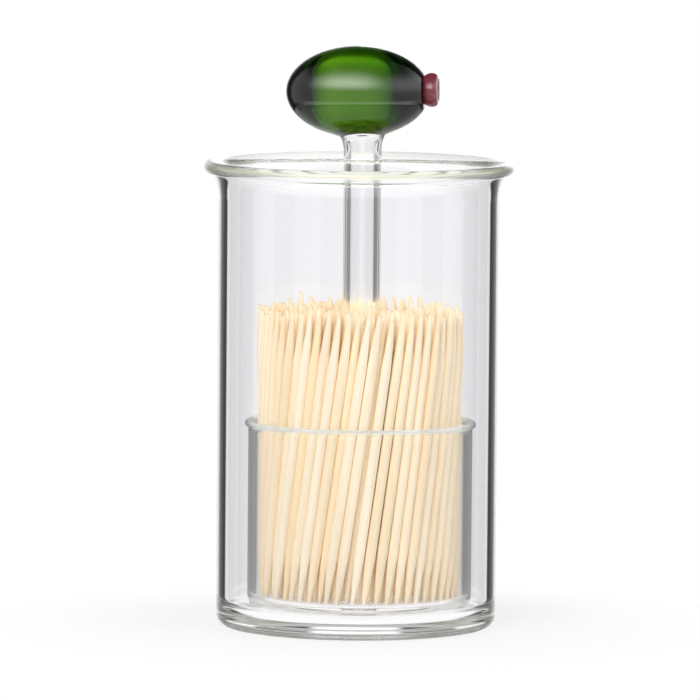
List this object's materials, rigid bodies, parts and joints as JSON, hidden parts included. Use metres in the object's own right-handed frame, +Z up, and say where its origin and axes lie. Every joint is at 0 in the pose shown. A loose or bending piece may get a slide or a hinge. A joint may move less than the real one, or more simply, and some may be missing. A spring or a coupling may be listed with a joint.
{
  "type": "glass toothpick holder",
  "caption": "Clear glass toothpick holder: a short inner cup of toothpicks lifts out of a tall glass by a tube handle with a green glass olive on top.",
  "frame": {"origin": "centre of the tall glass's foot, on the surface it stands on", "axes": "+Z up the glass, along which the cup lifts out; +X towards the red stud of the olive; -Y is the side the picture shows"},
  "size_m": [0.0664, 0.0664, 0.1247],
  "materials": {
    "clear_glass": "clear borosilicate glass, fire polished",
    "green_glass": "transparent green glass, fire polished",
    "red_glass": "red glass, fire polished",
    "pale_wood": "bare, fine straight grain"
  },
  "bodies": {
    "glass": {"outer_glass": "clear_glass"},
    "cup": {"inner_cup": "clear_glass", "handle_tube": "clear_glass", "olive": "green_glass", "pimento_stud": "red_glass", "picks_ring_1": "pale_wood", "picks_ring_2": "pale_wood", "picks_ring_3": "pale_wood", "picks_ring_4": "pale_wood", "picks_ring_5": "pale_wood", "picks_ring_6": "pale_wood", "pick_02": "pale_wood", "pick_03": "pale_wood", "pick_04": "pale_wood", "pick_05": "pale_wood", "pick_06": "pale_wood", "pick_07": "pale_wood", "pick_09": "pale_wood", "pick_10": "pale_wood", "pick_11": "pale_wood", "pick_12": "pale_wood", "pick_13": "pale_wood", "pick_14": "pale_wood", "pick_16": "pale_wood", "pick_17": "pale_wood", "pick_18": "pale_wood", "pick_19": "pale_wood", "pick_20": "pale_wood", "pick_21": "pale_wood", "pick_23": "pale_wood", "pick_24": "pale_wood", "pick_25": "pale_wood", "pick_26": "pale_wood", "pick_27": "pale_wood", "pick_28": "pale_wood", "pick_30": "pale_wood", "pick_31": "pale_wood", "pick_32": "pale_wood", "pick_33": "pale_wood", "pick_34": "pale_wood", "pick_35": "pale_wood", "pick_37": "pale_wood", "pick_38": "pale_wood", "pick_39": "pale_wood", "pick_40": "pale_wood", "pick_41": "pale_wood", "pick_42": "pale_wood", "pick_44": "pale_wood", "pick_45": "pale_wood", "pick_46": "pale_wood", "pick_47": "pale_wood", "pick_48": "pale_wood", "pick_49": "pale_wood"},
    "loose_pick_01": {"pick_01": "pale_wood"},
    "loose_pick_08": {"pick_08": "pale_wood"},
    "loose_pick_15": {"pick_15": "pale_wood"},
    "loose_pick_22": {"pick_22": "pale_wood"},
    "loose_pick_29": {"pick_29": "pale_wood"},
    "loose_pick_36": {"pick_36": "pale_wood"},
    "loose_pick_43": {"pick_43": "pale_wood"}
  },
  "joints": [
    {"name": "cup_lift", "type": "slide", "parent": "glass", "child": "cup", "axis": [0, 0, 1], "range_m": [0, 0.11]},
    {"name": "pick_01_pull", "type": "slide", "parent": "cup", "child": "loose_pick_01", "axis": [-0.0236, 0.1397, 0.9899], "range_m": [0, 0.12]},
    {"name": "pick_08_pull", "type": "slide", "parent": "cup", "child": "loose_pick_08", "axis": [-0.1254, 0.0717, 0.9895], "range_m": [0, 0.12]},
    {"name": "pick_15_pull", "type": "slide", "parent": "cup", "child": "loose_pick_15", "axis": [-0.1357, -0.0502, 0.9895], "range_m": [0, 0.12]},
    {"name": "pick_22_pull", "type": "slide", "parent": "cup", "child": "loose_pick_22", "axis": [-0.0469, -0.1344, 0.9898], "range_m": [0, 0.12]},
    {"name": "pick_29_pull", "type": "slide", "parent": "cup", "child": "loose_pick_29", "axis": [0.0743, -0.1174, 0.9903], "range_m": [0, 0.12]},
    {"name": "pick_36_pull", "type": "slide", "parent": "cup", "child": "loose_pick_36", "axis": [0.1367, -0.012, 0.9905], "range_m": [0, 0.12]},
    {"name": "pick_43_pull", "type": "slide", "parent": "cup", "child": "loose_pick_43", "axis": [0.0931, 0.1024, 0.9904], "range_m": [0, 0.12]}
  ]
}
